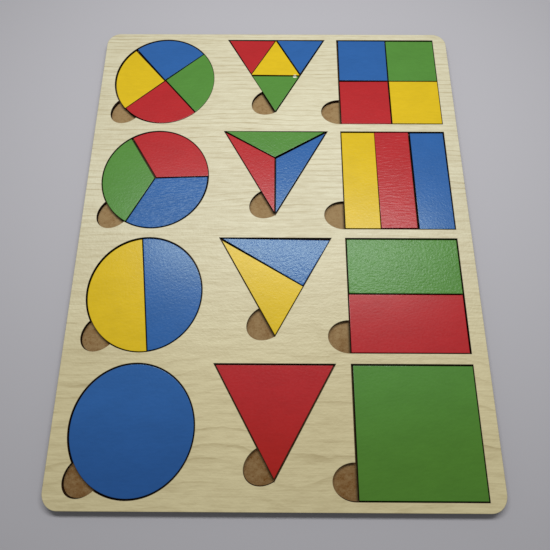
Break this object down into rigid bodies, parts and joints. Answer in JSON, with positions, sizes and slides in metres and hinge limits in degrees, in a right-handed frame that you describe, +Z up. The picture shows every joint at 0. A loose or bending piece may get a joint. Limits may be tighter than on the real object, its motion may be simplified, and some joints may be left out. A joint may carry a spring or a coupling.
{
  "type": "wooden fraction puzzle",
  "caption": "Flat birch plywood board on a hardboard back, with rows of circle, triangle and square recesses and finger notches that hold loose painted pieces, whole and cut into equal parts.",
  "frame": {"origin": "centre of the hardboard back's underside, on which the puzzle lies", "axes": "+X along the short side from the circles to the squares, +Y along the long side from the wholes to the quarters, +Z up out of the recesses"},
  "size_m": [0.24, 0.3, 0.006],
  "materials": {
    "birch_plywood": "bare sanded birch face, laser-cut edges charred brown",
    "hardboard": "smooth brown wood fibre",
    "red_paint": "birch plywood, top face painted satin red",
    "yellow_paint": "birch plywood, top face painted satin yellow",
    "green_paint": "birch plywood, top face painted satin green",
    "blue_paint": "birch plywood, top face painted satin blue"
  },
  "bodies": {
    "board": {"top_frame": "birch_plywood", "backing_board": "hardboard"},
    "circle_quarter_blue": {"circle_quarter_blue": "blue_paint"},
    "circle_quarter_green": {"circle_quarter_green": "green_paint"},
    "circle_quarter_red": {"circle_quarter_red": "red_paint"},
    "circle_quarter_yellow": {"circle_quarter_yellow": "yellow_paint"},
    "triangle_quarter_red": {"triangle_quarter_red": "red_paint"},
    "triangle_quarter_blue": {"triangle_quarter_blue": "blue_paint"},
    "triangle_quarter_yellow": {"triangle_quarter_yellow": "yellow_paint"},
    "triangle_quarter_green": {"triangle_quarter_green": "green_paint"},
    "square_quarter_blue": {"square_quarter_blue": "blue_paint"},
    "square_quarter_green": {"square_quarter_green": "green_paint"},
    "square_quarter_red": {"square_quarter_red": "red_paint"},
    "square_quarter_yellow": {"square_quarter_yellow": "yellow_paint"},
    "circle_third_red": {"circle_third_red": "red_paint"},
    "circle_third_green": {"circle_third_green": "green_paint"},
    "circle_third_blue": {"circle_third_blue": "blue_paint"},
    "triangle_third_green": {"triangle_third_green": "green_paint"},
    "triangle_third_red": {"triangle_third_red": "red_paint"},
    "triangle_third_blue": {"triangle_third_blue": "blue_paint"},
    "square_third_yellow": {"square_third_yellow": "yellow_paint"},
    "square_third_red": {"square_third_red": "red_paint"},
    "square_third_blue": {"square_third_blue": "blue_paint"},
    "circle_half_yellow": {"circle_half_yellow": "yellow_paint"},
    "circle_half_blue": {"circle_half_blue": "blue_paint"},
    "triangle_half_blue": {"triangle_half_blue": "blue_paint"},
    "triangle_half_yellow": {"triangle_half_yellow": "yellow_paint"},
    "square_half_green": {"square_half_green": "green_paint"},
    "square_half_red": {"square_half_red": "red_paint"},
    "circle_whole_blue": {"circle_whole_blue": "blue_paint"},
    "triangle_whole_red": {"triangle_whole_red": "red_paint"},
    "square_whole_green": {"square_whole_green": "green_paint"}
  },
  "joints": [
    {"name": "circle_quarter_blue_lift", "type": "slide", "parent": "board", "child": "circle_quarter_blue", "axis": [0, 0, 1], "range_m": [0, 0.03]},
    {"name": "circle_quarter_green_lift", "type": "slide", "parent": "board", "child": "circle_quarter_green", "axis": [0, 0, 1], "range_m": [0, 0.03]},
    {"name": "circle_quarter_red_lift", "type": "slide", "parent": "board", "child": "circle_quarter_red", "axis": [0, 0, 1], "range_m": [0, 0.03]},
    {"name": "circle_quarter_yellow_lift", "type": "slide", "parent": "board", "child": "circle_quarter_yellow", "axis": [0, 0, 1], "range_m": [0, 0.03]},
    {"name": "triangle_quarter_red_lift", "type": "slide", "parent": "board", "child": "triangle_quarter_red", "axis": [0, 0, 1], "range_m": [0, 0.03]},
    {"name": "triangle_quarter_blue_lift", "type": "slide", "parent": "board", "child": "triangle_quarter_blue", "axis": [0, 0, 1], "range_m": [0, 0.03]},
    {"name": "triangle_quarter_yellow_lift", "type": "slide", "parent": "board", "child": "triangle_quarter_yellow", "axis": [0, 0, 1], "range_m": [0, 0.03]},
    {"name": "triangle_quarter_green_lift", "type": "slide", "parent": "board", "child": "triangle_quarter_green", "axis": [0, 0, 1], "range_m": [0, 0.03]},
    {"name": "square_quarter_blue_lift", "type": "slide", "parent": "board", "child": "square_quarter_blue", "axis": [0, 0, 1], "range_m": [0, 0.03]},
    {"name": "square_quarter_green_lift", "type": "slide", "parent": "board", "child": "square_quarter_green", "axis": [0, 0, 1], "range_m": [0, 0.03]},
    {"name": "square_quarter_red_lift", "type": "slide", "parent": "board", "child": "square_quarter_red", "axis": [0, 0, 1], "range_m": [0, 0.03]},
    {"name": "square_quarter_yellow_lift", "type": "slide", "parent": "board", "child": "square_quarter_yellow", "axis": [0, 0, 1], "range_m": [0, 0.03]},
    {"name": "circle_third_red_lift", "type": "slide", "parent": "board", "child": "circle_third_red", "axis": [0, 0, 1], "range_m": [0, 0.03]},
    {"name": "circle_third_green_lift", "type": "slide", "parent": "board", "child": "circle_third_green", "axis": [0, 0, 1], "range_m": [0, 0.03]},
    {"name": "circle_third_blue_lift", "type": "slide", "parent": "board", "child": "circle_third_blue", "axis": [0, 0, 1], "range_m": [0, 0.03]},
    {"name": "triangle_third_green_lift", "type": "slide", "parent": "board", "child": "triangle_third_green", "axis": [0, 0, 1], "range_m": [0, 0.03]},
    {"name": "triangle_third_red_lift", "type": "slide", "parent": "board", "child": "triangle_third_red", "axis": [0, 0, 1], "range_m": [0, 0.03]},
    {"name": "triangle_third_blue_lift", "type": "slide", "parent": "board", "child": "triangle_third_blue", "axis": [0, 0, 1], "range_m": [0, 0.03]},
    {"name": "square_third_yellow_lift", "type": "slide", "parent": "board", "child": "square_third_yellow", "axis": [0, 0, 1], "range_m": [0, 0.03]},
    {"name": "square_third_red_lift", "type": "slide", "parent": "board", "child": "square_third_red", "axis": [0, 0, 1], "range_m": [0, 0.03]},
    {"name": "square_third_blue_lift", "type": "slide", "parent": "board", "child": "square_third_blue", "axis": [0, 0, 1], "range_m": [0, 0.03]},
    {"name": "circle_half_yellow_lift", "type": "slide", "parent": "board", "child": "circle_half_yellow", "axis": [0, 0, 1], "range_m": [0, 0.03]},
    {"name": "circle_half_blue_lift", "type": "slide", "parent": "board", "child": "circle_half_blue", "axis": [0, 0, 1], "range_m": [0, 0.03]},
    {"name": "triangle_half_blue_lift", "type": "slide", "parent": "board", "child": "triangle_half_blue", "axis": [0, 0, 1], "range_m": [0, 0.03]},
    {"name": "triangle_half_yellow_lift", "type": "slide", "parent": "board", "child": "triangle_half_yellow", "axis": [0, 0, 1], "range_m": [0, 0.03]},
    {"name": "square_half_green_lift", "type": "slide", "parent": "board", "child": "square_half_green", "axis": [0, 0, 1], "range_m": [0, 0.03]},
    {"name": "square_half_red_lift", "type": "slide", "parent": "board", "child": "square_half_red", "axis": [0, 0, 1], "range_m": [0, 0.03]},
    {"name": "circle_whole_blue_lift", "type": "slide", "parent": "board", "child": "circle_whole_blue", "axis": [0, 0, 1], "range_m": [0, 0.03]},
    {"name": "triangle_whole_red_lift", "type": "slide", "parent": "board", "child": "triangle_whole_red", "axis": [0, 0, 1], "range_m": [0, 0.03]},
    {"name": "square_whole_green_lift", "type": "slide", "parent": "board", "child": "square_whole_green", "axis": [0, 0, 1], "range_m": [0, 0.03]}
  ]
}
